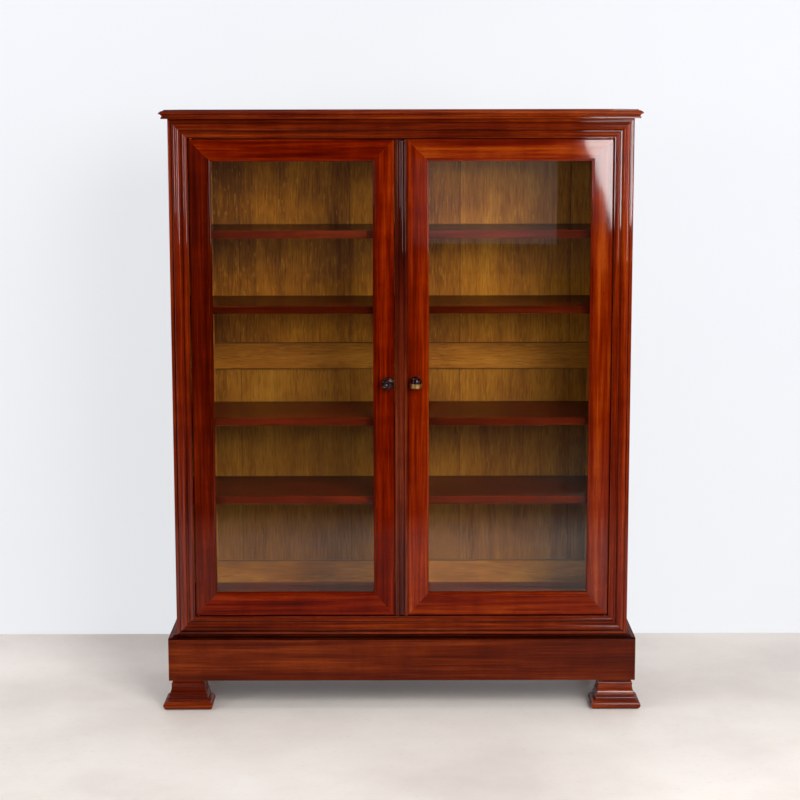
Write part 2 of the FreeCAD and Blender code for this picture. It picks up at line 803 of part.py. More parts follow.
def shelf_plan():
    """A shelf from above, notched at its four corners round the racks."""
    end = "Places.inner_half - Sizes.shelf_end_clearance"
    notch = "Places.rack_inner - Sizes.rack_clearance"
    front = "Places.front + Sizes.shelf_setback"
    back = "Places.back_front - Sizes.shelf_back_clearance"
    front_notch = "Places.front_rack_edge + Sizes.rack_clearance"
    back_notch = "Places.back_rack_edge - Sizes.rack_clearance"
    right = [
        (notch, back),
        (notch, back_notch),
        (end, back_notch),
        (end, front_notch),
        (notch, front_notch),
        (notch, front),
    ]
    return right + other_side(right)


def cleat(shelf, side):
    """A bar between a front and a back rack, its ends cut to the shape of the teeth that it lies in."""
    tip = "(Sizes.tooth_depth - Sizes.cleat_clearance)"
    shoulder = f"({tip} - Sizes.tooth_depth * Sizes.cleat_height / Sizes.tooth_pitch)"
    reach = "(Places.back_rack_edge - Places.front_rack_edge) / 2"
    end = [(f"{reach} + {shoulder}", "Sizes.cleat_height"), (f"{reach} + {tip}", "0")]
    bar = solid("cleat", "YZ_Plane", end + other_side(end), "Sizes.cleat_width")
    x = f"{side}(Places.inner_half - Sizes.cleat_width / 2)"
    return place(bar, x, "(Places.back_rack_edge + Places.front_rack_edge) / 2", seat_level(shelf))


def shelves():
    for shelf in SEATS:
        body = solid(shelf, "XY_Plane", shelf_plan(), "Sizes.shelf_thickness")
        level = f"{seat_level(shelf)} + Sizes.cleat_height + Sizes.shelf_thickness / 2"
        finish(place(body, "0", "0", level), shelf)
    group("cleats_left", [cleat(shelf, "-") for shelf in SEATS])
    group("cleats_right", [cleat(shelf, "") for shelf in SEATS])


# Doors -------------------------------------------------------------------------------------------------


def door_section(width):
    """A member of a door: rounded outer edge, flat face, sight bead, and the rebate for the glass."""
    round_rise = "Sizes.door_edge_round * (1 - sqrt(0.5))"
    bead = f"{width} - Sizes.sight_bead"
    rebate = f"{width} - Sizes.rebate_width"
    return [
        ("Sizes.door_thickness", "0"),
        ("Sizes.door_edge_round", "0"),
        ("0", "Sizes.door_edge_round", round_rise),
        ("0", bead),
        ("Sizes.sight_quirk", bead),
        ("Sizes.sight_bead_drop", width, "Sizes.sight_bead_rise"),
        ("Sizes.rebate_lip", width),
        ("Sizes.rebate_lip", rebate),
        ("Sizes.door_thickness", rebate),
    ]


def glazing_section(width):
    """The bead that holds the glass from behind, its free edge rounded."""
    glass_back = "Sizes.rebate_lip + Sizes.glass_thickness"
    return [
        ("Sizes.door_thickness", "0"),
        (glass_back, "0"),
        (glass_back, width),
        (f"{glass_back} + Sizes.glazing_bead_edge", width),
        ("Sizes.door_thickness", "Sizes.glazing_bead_edge", "Sizes.glazing_bead_rise"),
    ]


def pivots(label, side):
    """A plate let into the top and the bottom edge of a door, each with its pin."""
    radius = "Sizes.pivot_radius"
    thickness = "Sizes.pivot_plate_thickness"
    start = "(Places.door_half - Sizes.pivot_plate_start)"
    low_x = f"-{start}" if side == "-" else f"{start} - Sizes.pivot_plate"
    low_y = "Places.pivot_y - Sizes.pivot_plate_width / 2"
    members = []
    ends = (
        ("Places.door_top - Sizes.pivot_plate_thickness", "Places.door_top - Sizes.pivot_plate_thickness"),
        ("Places.door_bottom", "Places.door_bottom - Sizes.pivot_reach"),
    )
    for plate_bottom, pin_bottom in ends:
        body = new_body("pivot")
        size = ("Sizes.pivot_plate", "Sizes.pivot_plate_width", thickness)
        block("Additive", body, (low_x, low_y, plate_bottom), size)
        centre = (f"{side}Places.pivot_offset", "Places.pivot_y", pin_bottom)
        rod("Additive", body, centre, radius, f"Sizes.pivot_reach + {thickness}")
        members.append(body)
    group(label, members)


def leaf(name, box, widths, side):
    """The mitred frame, the glass, the glazing beads and the pivots of one door."""
    left, right, bottom, top = box
    left_width, right_width, bottom_width, top_width = widths
    left_name, right_name = ("hanging_stile", "meeting_stile")
    if side != "-":
        left_name, right_name = right_name, left_name
    names = [f"{name}_{member}" for member in (left_name, right_name, "top_rail", "bottom_rail")]
    bodies = mitred_frame(names, door_section, box, widths, "Places.front")
    for label, body in zip(names, bodies):
        finish(body, label)

    # The pivot plates lie in the rails at the hanging end; the turned-over top rail has it at the other end.
    breadth = f"({right} - ({left}))"
    start = f"({breadth} / 2 - Sizes.pivot_plate_start)"
    at_low_end = f"-{start}"
    at_high_end = f"{start} - Sizes.pivot_plate"
    ends = (at_high_end, at_low_end) if side == "-" else (at_low_end, at_high_end)
    size = ("Sizes.pivot_plate", "Sizes.pivot_plate_width", "Sizes.pivot_plate_thickness")
    for body, x in zip(bodies[2:], ends):
        block("Subtractive", body, (x, "Sizes.pivot_inset - Sizes.pivot_plate_width / 2", "0"), size)
    pivots(f"{name}_pivots", side)

    edges = []
    for edge, width, sign in zip(box, (left_width, right_width, bottom_width, top_width), "+-+-"):
        edges.append(f"({edge} {sign} ({width} - Sizes.rebate_width))")
    gap = "Sizes.glass_clearance"
    low = (f"{edges[0]} + {gap}", "Places.front + Sizes.rebate_lip", f"{edges[2]} + {gap}")
    glass_width = f"{edges[1]} - {edges[0]} - 2 * {gap}"
    glass_height = f"{edges[3]} - {edges[2]} - 2 * {gap}"
    board(f"{name}_glass", low, (glass_width, "Sizes.glass_thickness", glass_height))
    beads = mitred_frame(["bead"] * 4, glazing_section, edges, ["Sizes.glazing_bead"] * 4, "Places.front")
    group(f"{name}_glazing_beads", beads)
    return dict(zip((left_name, right_name), bodies))


def astragal():
    """The closing strip on the right door: fillets and reeds either side of a torus, its ends rounded."""
    width = "Sizes.astragal_width"
    fillet = "Sizes.astragal_fillet"
    reed = f"({fillet} + Sizes.astragal_reed)"
    section = [
        ("Sizes.door_thickness", "0"),
        ("-Sizes.astragal_fillet_rise", "0"),
        ("-Sizes.astragal_fillet_rise", fillet),
        ("-Sizes.astragal_reed_foot", fillet),
        ("-Sizes.astragal_reed_foot", reed, "Sizes.astragal_reed_rise"),
        ("-Sizes.astragal_torus_foot", reed),
        ("-Sizes.astragal_torus_foot", f"{width} - {reed}", "Sizes.astragal_torus_rise"),
        ("-Sizes.astragal_reed_foot", f"{width} - {reed}"),
        ("-Sizes.astragal_reed_foot", f"{width} - {fillet}", "Sizes.astragal_reed_rise"),
        ("-Sizes.astragal_fillet_rise", f"{width} - {fillet}"),
        ("-Sizes.astragal_fillet_rise", width),
        ("Sizes.door_thickness", width),
    ]
    body = stick("astragal", section, "Places.door_height")
    reach = "(Sizes.astragal_torus_foot + Sizes.astragal_torus_rise)"
    radius = "Sizes.astragal_end_round"
    round_rise = f"-{radius} * (1 - sqrt(0.5))"
    end = "Places.door_height / 2"
    low = f"-{reach}"
    high = f"{radius} - {reach}"
    cuts = (
        [(f"-{end}", low), (f"-{end}", high), (f"{radius} - {end}", low, round_rise)],
        [(end, low), (f"{end} - {radius}", low), (end, high, round_rise)],
    )
    pocket = body.newObject("PartDesign::Pocket", "Ends")
    pocket.Profile = sketch(body, "XY_Plane", *cuts)
    pocket.SideType = "Symmetric"
    pocket.Type = "ThroughAll"
    where = ("-Places.astragal_half", "Places.front", "Places.door_middle")
    finish(place(body, *where, LEFT_UPRIGHT), "astragal")


def doors():
    """The left leaf ends at the gap beside the closing strip, the right leaf's frame at the strip."""
    levels = ("Places.door_bottom", "Places.door_top")
    rails = ("Sizes.door_bottom_rail", "Sizes.door_top_rail")
    left_box = ("-Places.door_half", "Places.left_leaf_edge", *levels)
    right_box = ("Places.astragal_half", "Places.door_half", *levels)
    left_stiles = leaf("left_door", left_box, ("Sizes.hanging_stile", "Sizes.meeting_stile", *rails), "-")
    right_stiles = leaf("right_door", right_box, ("Sizes.meeting_stile", "Sizes.hanging_stile", *rails), "")
    # The pull knob's tenon sits in the left meeting stile, whose own X points up. The turn knob's spindle
    # goes through the right one, whose own X points down.
    clearance = "Sizes.knob_tenon_clearance"
    centre = ("Places.knob_height - Places.door_middle", "0", "Sizes.knob_inset")
    bore = f"Sizes.knob_tenon_radius + {clearance}"
    depth = f"Sizes.knob_tenon + {clearance}"
    rod("Subtractive", left_stiles["meeting_stile"], centre, bore, depth, BACKWARDS)
    centre = ("Places.door_middle - Sizes.turn_height", "0", "Sizes.turn_inset")
    bore = "Sizes.spindle_radius + Sizes.spindle_clearance"
    rod("Subtractive", right_stiles["meeting_stile"], centre, bore, "Sizes.door_thickness", BACKWARDS)
    astragal()


# Knobs -------------------------------------------------------------------------------------------------


def pull_knob():
    """A turned knob on the left door: tenon, rose, neck, rounded rim and dished face."""
    rim_back = "(Sizes.knob_rose + Sizes.knob_neck)"
    rim_front = f"({rim_back} + Sizes.knob_rim)"
    rim_middle = f"({rim_back} + Sizes.knob_rim / 2)"
    rim_reach = "(Sizes.knob_radius - Sizes.knob_dish_radius)"
    profile = [
        ("0", "-Sizes.knob_tenon"),
        ("0", f"{rim_front} - Sizes.knob_dish"),
        ("Sizes.knob_dish_radius / 2", f"{rim_front} - Sizes.knob_dish"),
        *rounded("Sizes.knob_dish_radius", rim_middle, rim_reach, "Sizes.knob_rim / 2", 90, -90, 3),
        ("Sizes.knob_neck_radius", rim_back),
        ("Sizes.knob_neck_radius", "Sizes.knob_rose"),
        ("Sizes.knob_rose_radius", "Sizes.knob_rose"),
        ("Sizes.knob_rose_radius", "0"),
        ("Sizes.knob_tenon_radius", "0"),
        ("Sizes.knob_tenon_radius", "-Sizes.knob_tenon"),
    ]
    body = new_body("left_knob")
    turned(body, profile)
    x = "Places.left_leaf_edge - Sizes.knob_inset"
    finish(place(body, x, "Places.front", "Places.knob_height", FORWARDS), "left_knob")


def turn_knob():
    """A dark dome in a double-ringed brass ferrule, on a spindle with a crank behind the door."""
    half = "Sizes.ferrule_height / 2"
    edge = "Sizes.ferrule_groove / 2"
    groove = "Sizes.turn_radius - Sizes.ferrule_groove"
    upper_ring = [
        ("0", half),
        ("Sizes.turn_radius - Sizes.ferrule_bevel", half),
        ("Sizes.turn_radius", f"{half} - Sizes.ferrule_bevel"),
        ("Sizes.turn_radius", edge),
        (groove, edge),
    ]
    lower_ring = [(radius, f"-({height})") for radius, height in reversed(upper_ring)]
    body = new_body("turn_knob_ferrule")
    turned(body, upper_ring + lower_ring)
    standoff = "Sizes.turn_standoff"
    disc_front = "(Sizes.lock_wall + Sizes.bolt_thickness + Sizes.lock_play)"
    spindle = f"{standoff} + Sizes.door_thickness + {disc_front}"
    pin_length = "Sizes.bolt_thickness + Sizes.lock_play"
    disc_radius = "Sizes.crank_radius + Sizes.crank_pin_radius + Sizes.crank_rim"
    collar = f"{standoff} - Sizes.spindle_collar"
    pin = "Places.crank_offset"
    rod("Additive", body, ("0", "0", "0"), "Sizes.spindle_radius", spindle, BACKWARDS)
    collar_sizes = ("Sizes.spindle_collar_radius", "Sizes.spindle_collar")
    rod("Additive", body, ("0", collar, "0"), *collar_sizes, BACKWARDS)
    rod("Additive", body, ("0", spindle, "0"), disc_radius, "Sizes.crank_disc", BACKWARDS)
    pin_foot = f"{spindle} - ({pin_length})"
    rod("Additive", body, (pin, pin_foot, pin), "Sizes.crank_pin_radius", pin_length, BACKWARDS)
    where = ("Places.turn_x", f"Places.front - {standoff}", "Sizes.turn_height")
    finish(place(body, *where), "turn_knob_ferrule")

    cap = new_body("turn_knob_dome")
    rim = "(Sizes.turn_radius - Sizes.dome_inset)"
    rise = "(Sizes.dome_height - Sizes.dome_foot)"
    crown = rounded("0", f"{half} + Sizes.dome_foot", rim, rise, 90, 0, 3)
    turned(cap, [("0", half), *crown, (rim, half)])
    finish(place(cap, *where), "turn_knob_dome")


# Lock and bolts ----------------------------------------------------------------------------------------


def lock():
    """Case on the back of the right door, the bolt in it, and the keeper on the back of the left door."""
    wall = "Sizes.lock_wall"
    play = "Sizes.lock_play"
    slot = ("Places.bolt_bottom - Sizes.lock_play", "Sizes.bolt_height + 2 * Sizes.lock_play")
    case = new_body("lock_case")
    corner = ("Places.lock_left", "Places.door_back", "Places.lock_bottom")
    block("Additive", case, corner, ("Sizes.lock_width", "Sizes.lock_depth", "Sizes.lock_height"))
    hollow = (f"Places.lock_left + {wall}", "Places.door_back", f"Places.lock_bottom + {wall}")
    inside = (
        f"Sizes.lock_width - 2 * {wall}",
        f"Sizes.lock_depth - {wall}",
        f"Sizes.lock_height - 2 * {wall}",
    )
    block("Subtractive", case, hollow, inside)
    mouth = ("Places.lock_left", "Places.door_back", slot[0])
    mouth_depth = f"{wall} + Sizes.bolt_thickness + {play}"
    block("Subtractive", case, mouth, (wall, mouth_depth, slot[1]))
    finish(case, "lock_case")

    bolt = new_body("lock_bolt")
    tip = f"Places.lock_left + Sizes.bolt_tip"
    notch = "Places.turn_x + Places.crank_offset"
    length = f"{notch} + Sizes.bolt_notch / 2 + Sizes.bolt_tail - ({tip})"
    size = (length, "Sizes.bolt_thickness", "Sizes.bolt_height")
    block("Additive", bolt, (tip, "Places.bolt_y", "Places.bolt_bottom"), size)
    low = (f"{notch} - Sizes.bolt_notch / 2", "Places.bolt_y", "Places.bolt_bottom")
    notch_size = ("Sizes.bolt_notch", "Sizes.bolt_thickness", "Sizes.bolt_notch_height")
    block("Subtractive", bolt, low, notch_size)
    finish(bolt, "lock_bolt")

    keeper = new_body("lock_keeper")
    wall = "Sizes.keeper_wall"
    play = "Sizes.keeper_play"
    right = "(Places.left_leaf_edge - Sizes.keeper_setback)"
    width = "(Sizes.lock_throw + Sizes.keeper_play)"
    depth = f"(Sizes.lock_wall + Sizes.bolt_thickness + {play})"
    height = f"(Sizes.bolt_height + 2 * {play})"
    bottom = f"Places.bolt_bottom - {play}"
    corner = (f"{right} - {width} - {wall}", "Places.door_back", f"{bottom} - {wall}")
    outside = (f"{width} + {wall}", f"{depth} + {wall}", f"{height} + 2 * {wall}")
    block("Additive", keeper, corner, outside)
    pocket = (f"{right} - {width}", "Places.door_back", bottom)
    block("Subtractive", keeper, pocket, (width, depth, height))
    finish(keeper, "lock_keeper")


def surface_bolts():
    """A sliding rod in two lugs of a plate, at the top and at the bottom of the left meeting stile."""
    guides = []
    ends = (
        ("upper_bolt", "(Places.ceiling_bottom - Sizes.rod_tip_gap)", "-", "1"),
        ("lower_bolt", "(Places.floor_top + Sizes.rod_tip_gap)", "+", "0"),
    )
    for label, tip, away, hangs in ends:
        sliding = new_body(label)
        low = f"{tip} - {hangs} * Sizes.rod_length"
        foot = ("Places.rod_x", "Places.rod_y", low)
        rod("Additive", sliding, foot, "Sizes.rod_radius", "Sizes.rod_length")
        stem = ("Places.rod_x", "Places.rod_y", f"{tip} {away} Sizes.rod_length / 2")
        stem_length = "Sizes.rod_radius + Sizes.rod_stem"
        rod("Additive", sliding, stem, "Sizes.rod_stem_radius", stem_length, BACKWARDS)
        finish(sliding, label)

        guide = new_body("guide")
        left = "Places.rod_x - Sizes.guide_width / 2"
        plate_low = f"({tip} {away} Sizes.guide_start - {hangs} * Sizes.guide_length)"
        size = ("Sizes.guide_width", "Sizes.guide_thickness", "Sizes.guide_length")
        block("Additive", guide, (left, "Places.door_back", plate_low), size)
        lug = ("Sizes.guide_width", "Sizes.guide_thickness + Sizes.guide_lug_depth", "Sizes.guide_lug")
        for level in (plate_low, f"{plate_low} + Sizes.guide_length - Sizes.guide_lug"):
            block("Additive", guide, (left, "Places.door_back", level), lug)
            bore = "Sizes.rod_radius + Sizes.rod_clearance"
            rod("Subtractive", guide, ("Places.rod_x", "Places.rod_y", level), bore, "Sizes.guide_lug")
        guides.append(guide)
    group("left_bolt_guides", guides)


# Assembly ----------------------------------------------------------------------------------------------


def check():
    """Stops if a feature failed, took nothing away where it should, or left no sound solid."""
    cutting = ("PartDesign::Pocket", "PartDesign::SubtractiveBox", "PartDesign::SubtractiveCylinder")
    for item in doc.Objects:
        if "Invalid" in item.State or "Error" in item.State:
            raise RuntimeError(f"{item.Label} failed: {item.State}")
        if item.TypeId in cutting:
            if item.Shape.Volume > item.BaseFeature.Shape.Volume - 1e-3:
                raise RuntimeError(f"{item.Name} ({item.Label}) takes nothing away")
    for part in parts:
        if part.Shape.isNull() or not part.Shape.isValid() or not part.Shape.Solids:
            raise RuntimeError(f"{part.Label} has no sound solid")


def export():
    os.makedirs("parts", exist_ok=True)
    for part in parts:
        part.Shape.exportStep(f"parts/{part.Label}.step")


front_frame()
case_boards()
cornice()
framed_back()
plinth()
ledge()
feet()
racks()
shelves()
doors()
pull_knob()
turn_knob()
lock()
surface_bolts()
doc.recompute()
check()
export()
print(len(parts), "parts")
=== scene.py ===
"""Looks of a polished mahogany bookcase with two glazed doors, built over its CAD model."""

import math

import bmesh
import bpy
from mathutils import Matrix, Vector


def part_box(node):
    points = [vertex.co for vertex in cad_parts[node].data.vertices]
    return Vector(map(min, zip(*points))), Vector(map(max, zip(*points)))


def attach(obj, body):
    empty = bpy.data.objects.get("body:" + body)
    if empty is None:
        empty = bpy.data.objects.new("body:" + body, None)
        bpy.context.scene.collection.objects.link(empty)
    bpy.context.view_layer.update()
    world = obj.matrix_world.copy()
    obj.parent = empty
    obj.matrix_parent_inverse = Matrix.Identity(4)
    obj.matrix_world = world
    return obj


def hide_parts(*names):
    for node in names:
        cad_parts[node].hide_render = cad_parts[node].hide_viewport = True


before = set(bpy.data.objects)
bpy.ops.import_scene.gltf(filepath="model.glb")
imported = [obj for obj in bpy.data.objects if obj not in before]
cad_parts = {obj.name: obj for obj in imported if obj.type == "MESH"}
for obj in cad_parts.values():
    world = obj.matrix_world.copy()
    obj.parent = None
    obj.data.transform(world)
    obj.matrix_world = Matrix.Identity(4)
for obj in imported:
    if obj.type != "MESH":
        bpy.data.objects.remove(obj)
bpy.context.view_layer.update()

MM = 0.001

# Colours ---------------------------------------------------------------------------------------------


def srgb(red, green, blue):
    """The linear colour of three 8-bit display values."""

    def linear(level):
        level /= 255
        return level / 12.92 if level <= 0.04045 else ((level + 0.055) / 1.055) ** 2.4

    return (linear(red), linear(green), linear(blue), 1.0)


# From the darkest streak to the palest, for each kind of board.
# The right door's ORANGE_RED and FLAME_RED are paler than the left door's DEEP_RED and CLEAR_RED: partly
# the wood's own tone, partly painted light for the brighter sheen of the right door.
DEEP_RED = (srgb(33, 3, 0), srgb(60, 7, 0), srgb(80, 14, 0), srgb(108, 30, 2))
CLEAR_RED = (srgb(48, 3, 0), srgb(85, 12, 0), srgb(109, 25, 0), srgb(143, 48, 4))
ORANGE_RED = (srgb(54, 4, 0), srgb(84, 14, 0), srgb(106, 27, 1), srgb(137, 54, 8))
FLAME_RED = (srgb(64, 7, 0), srgb(100, 20, 0), srgb(124, 36, 1), srgb(160, 70, 10))
RED_BROWN = (srgb(47, 6, 0), srgb(76, 16, 2), srgb(99, 29, 4), srgb(134, 52, 12))
BRIGHT_RED = (srgb(54, 6, 0), srgb(84, 16, 1), srgb(108, 28, 3), srgb(144, 54, 10))
DARK_RED = (srgb(40, 5, 1), srgb(64, 14, 5), srgb(84, 25, 9), srgb(114, 46, 22))
PLINTH_BROWN = (srgb(50, 9, 1), srgb(72, 18, 3), srgb(90, 28, 5), srgb(117, 46, 12))
# The front ledge's tones, darkened as painted shadow for the shade under the frame's sill.
SHADOWED_LEDGE_BROWN = (srgb(16, 0, 0), srgb(24, 1, 0), srgb(34, 3, 0), srgb(50, 8, 1))
# The shelves' two tone sets: the mahogany darkened as painted shade inside the case; the lower shelves'
# set is paler, painted light for the sheen they show.
SHADED_SHELF_RED = (srgb(34, 4, 0), srgb(52, 9, 1), srgb(64, 15, 3), srgb(84, 28, 8))
SHADED_LOW_SHELF_RED = (srgb(40, 5, 0), srgb(62, 13, 2), srgb(77, 20, 4), srgb(98, 36, 10))
OAK = (srgb(90, 45, 4), srgb(129, 73, 10), srgb(152, 93, 18), srgb(177, 120, 35))
# The lower panel's tones: the oak darkened as painted shade for the lower bays, which get less light.
SHADED_OAK_LOW = (srgb(74, 36, 3), srgb(107, 60, 8), srgb(125, 76, 14), srgb(145, 98, 28))
OAK_RAIL = (srgb(86, 44, 4), srgb(121, 67, 10), srgb(137, 81, 17), srgb(157, 102, 31))
OAK_RAIL_LOW = (srgb(88, 45, 4), srgb(121, 68, 10), srgb(138, 83, 17), srgb(157, 105, 30))

# Nodes -----------------------------------------------------------------------------------------------

# How far a seed moves a noise along each axis.
SEED_STEPS = (3.71, 5.13, 7.57)
# Cosines between a face's normal and the one rounded over an edge: from FLAT up nothing counts as an
# edge, and from SHARP down it counts in full.
FLAT = 0.995
SHARP = 0.85
# Levels of a noise between which its patches begin and are full.
PATCH_START = 0.4
PATCH_FULL = 0.65


class Net:
    """A material's node tree, with short ways to add and join its nodes."""

    def __init__(self, name):
        self.material = bpy.data.materials.new(name)
        self.material.use_nodes = True
        self.tree = self.material.node_tree
        self.shader = self.tree.nodes["Principled BSDF"]
        self.surface = self.tree.nodes["Material Output"].inputs["Surface"]

    def add(self, kind, **settings):
        node = self.tree.nodes.new("ShaderNode" + kind)
        for name, value in settings.items():
            setattr(node, name, value)
        return node

    def feed(self, socket, value):
        if isinstance(value, bpy.types.NodeSocket):
            self.tree.links.new(value, socket)
        else:
            socket.default_value = value

    def set(self, **values):
        """Values of the shader's own sockets, with _ for the spaces of their names."""
        for name, value in values.items():
            self.feed(self.shader.inputs[name.replace("_", " ")], value)

    def math(self, operation, *values):
        node = self.add("Math", operation=operation)
        for socket, value in zip(node.inputs, values):
            self.feed(socket, value)
        return node.outputs[0]

    def share(self, value, weight):
        return self.math("MULTIPLY", value, weight)

    def total(self, values, weights):
        """The sum of the values, each taken by its weight."""
        shares = [self.share(value, weight) for value, weight in zip(values, weights)]
        total = shares[0]
        for share in shares[1:]:
            total = self.math("ADD", total, share)
        return total

    def spread(self, value, low, high, to_low=0.0, to_high=1.0):
        """value's span low..high laid on to_low..to_high, and held there."""
        node = self.add("MapRange", clamp=True)
        spans = {"Value": value, "From Min": low, "From Max": high, "To Min": to_low, "To Max": to_high}
        for name, number in spans.items():
            self.feed(node.inputs[name], number)
        return node.outputs[0]

    def mix(self, factor, first, second):
        node = self.add("Mix", data_type="RGBA")
        self.feed(node.inputs[0], factor)
        self.feed(node.inputs[6], first)
        self.feed(node.inputs[7], second)
        return node.outputs[2]

    def place(self, scale, seed):
        """The piece's own coordinates, scaled along each axis and moved by the seed."""
        coordinates = self.add("TexCoord")
        mapping = self.add("Mapping")
        mapping.inputs["Scale"].default_value = scale
        mapping.inputs["Location"].default_value = tuple(seed * step for step in SEED_STEPS)
        self.tree.links.new(coordinates.outputs["Object"], mapping.inputs["Vector"])
        return mapping.outputs[0]

    def noise(self, place, detail=4.0, roughness=0.55, distortion=0.0):
        node = self.add("TexNoise")
        self.feed(node.inputs["Vector"], place)
        figure = {"Scale": 1.0, "Detail": detail, "Roughness": roughness, "Distortion": distortion}
        for name, value in figure.items():
            node.inputs[name].default_value = value
        return node.outputs[0]

    def ramp(self, value, stops):
        node = self.add("ValToRGB")
        elements = node.color_ramp.elements
        while len(elements) < len(stops):
            elements.new(0.5)
        for element, (position, colour) in zip(elements, stops):
            element.position = position
            element.color = colour
        self.feed(node.inputs[0], value)
        return node.outputs[0]

    def bump(self, height, strength, distance):
        node = self.add("Bump")
        node.inputs["Strength"].default_value = strength
        node.inputs["Distance"].default_value = distance
        self.feed(node.inputs["Height"], height)
        return node.outputs[0]

    def edges(self, radius):
        """0 on flat faces, rising to 1 within radius of an edge."""
        bevel = self.add("Bevel", samples=4)
        bevel.inputs["Radius"].default_value = radius
        geometry = self.add("NewGeometry")
        dot = self.add("VectorMath", operation="DOT_PRODUCT")
        self.feed(dot.inputs[0], bevel.outputs[0])
        self.feed(dot.inputs[1], geometry.outputs["Normal"])
        return self.spread(dot.outputs["Value"], FLAT, SHARP)

    def paler_edges(self, radius, patch_scale, seed):
        """Edges within radius, but only in patches, to be made paler."""
        patches = self.noise(self.place((patch_scale, patch_scale, patch_scale), seed))
        return self.math("MULTIPLY", self.edges(radius), self.spread(patches, PATCH_START, PATCH_FULL))


def along(grain, lengthwise, crosswise):
    """A noise's scales on the three axes: one along the grain, the other across it."""
    return tuple(lengthwise if axis == grain else crosswise for axis in "XYZ")


# Woods -----------------------------------------------------------------------------------------------

# Each figure's noise scales, along the grain and across it.
STREAK = (0.9, 17)
FINE_LINE = (3.5, 120)
RIPPLE = (20, 7)
MAHOGANY_PORE = (70, 1100)
# Where each tone lies on the ramp, and how much streak, fine line and ripple there is.
MAHOGANY_STOPS = (0.37, 0.47, 0.545, 0.64)
MAHOGANY_WEIGHTS = (0.5, 0.4, 0.1)
PORE_DARKNESS = 0.5
# How strongly edges turn pale, and the tone mahogany's edges turn: partly rubbed wood, partly a painted
# highlight.
PALE_EDGE_STRENGTH = 0.4
WORN_AND_HIGHLIGHT = srgb(168, 82, 34)


def mahogany(name, tones, grain, seed, polish):
    """French polished mahogany: long streaks, a finer line, short pores, ripple, and paler edges, part
    wear and part painted highlight.
    """
    net = Net(name)
    broad = net.noise(net.place(along(grain, *STREAK), seed), detail=4, roughness=0.5, distortion=0.5)
    fine = net.noise(net.place(along(grain, *FINE_LINE), seed + 1), detail=4, roughness=0.65)
    ripple = net.noise(net.place(along(grain, *RIPPLE), seed + 2), detail=2, roughness=0.5)
    tone = net.total((broad, fine, ripple), MAHOGANY_WEIGHTS)
    wood = net.ramp(tone, list(zip(MAHOGANY_STOPS, tones)))
    pores = net.noise(net.place(along(grain, *MAHOGANY_PORE), seed + 3), detail=2, roughness=0.5)
    pore_mask = net.spread(pores, 0.6, 0.68)
    wood = net.mix(net.share(pore_mask, PORE_DARKNESS), wood, tones[0])
    # Edges paler in patches: partly wear, partly a painted highlight along them.
    wood = net.mix(net.share(net.paler_edges(1.5 * MM, 9, seed), PALE_EDGE_STRENGTH), wood, WORN_AND_HIGHLIGHT)
    handling = net.noise(net.place((6, 6, 6), seed + 4), detail=3)
    net.set(
        Base_Color=wood,
        Roughness=net.spread(handling, 0.3, 0.7, 0.38, 0.52),
        Normal=net.bump(net.math("SUBTRACT", fine, pore_mask), 0.12, 0.4 * MM),
        Coat_Normal=net.bump(net.noise(net.place((14, 14, 14), seed + 5), detail=1), 0.05, 1.5 * MM),
        Specular_IOR_Level=0.0,
        Coat_Weight=polish,
        Coat_Roughness=0.04,
        Coat_IOR=1.48,
    )
    return net.material


GROWTH_LINE = (1.6, 24)
OAK_LINE = (16, 230)
FLECK = (34, 190)
OAK_PORE = (30, 420)
# Where each tone lies on the ramp, and how much growth line, fine line and cloud there is.
OAK_STOPS = (0.36, 0.46, 0.54, 0.66)
OAK_WEIGHTS = (0.3, 0.36, 0.34)
# From board to board: the step in a wave of shades, the wave's height, and how far the figure is moved.
BOARD_STEP = 12.9
BOARD_SHADE = 0.09
BOARD_SHIFT = 3.3
# How far the dark of a joint or of a rail's edge bands reaches, and how much of a band's reach is fully
# dark.
JOINT_REACH = 1.6 * MM
RAIL_EDGE_REACH = 3.2 * MM
RAIL_EDGE_CORE = 0.4
JOINT_TONE = srgb(40, 22, 10)
RAIL_EDGE_TONE = srgb(52, 22, 4)


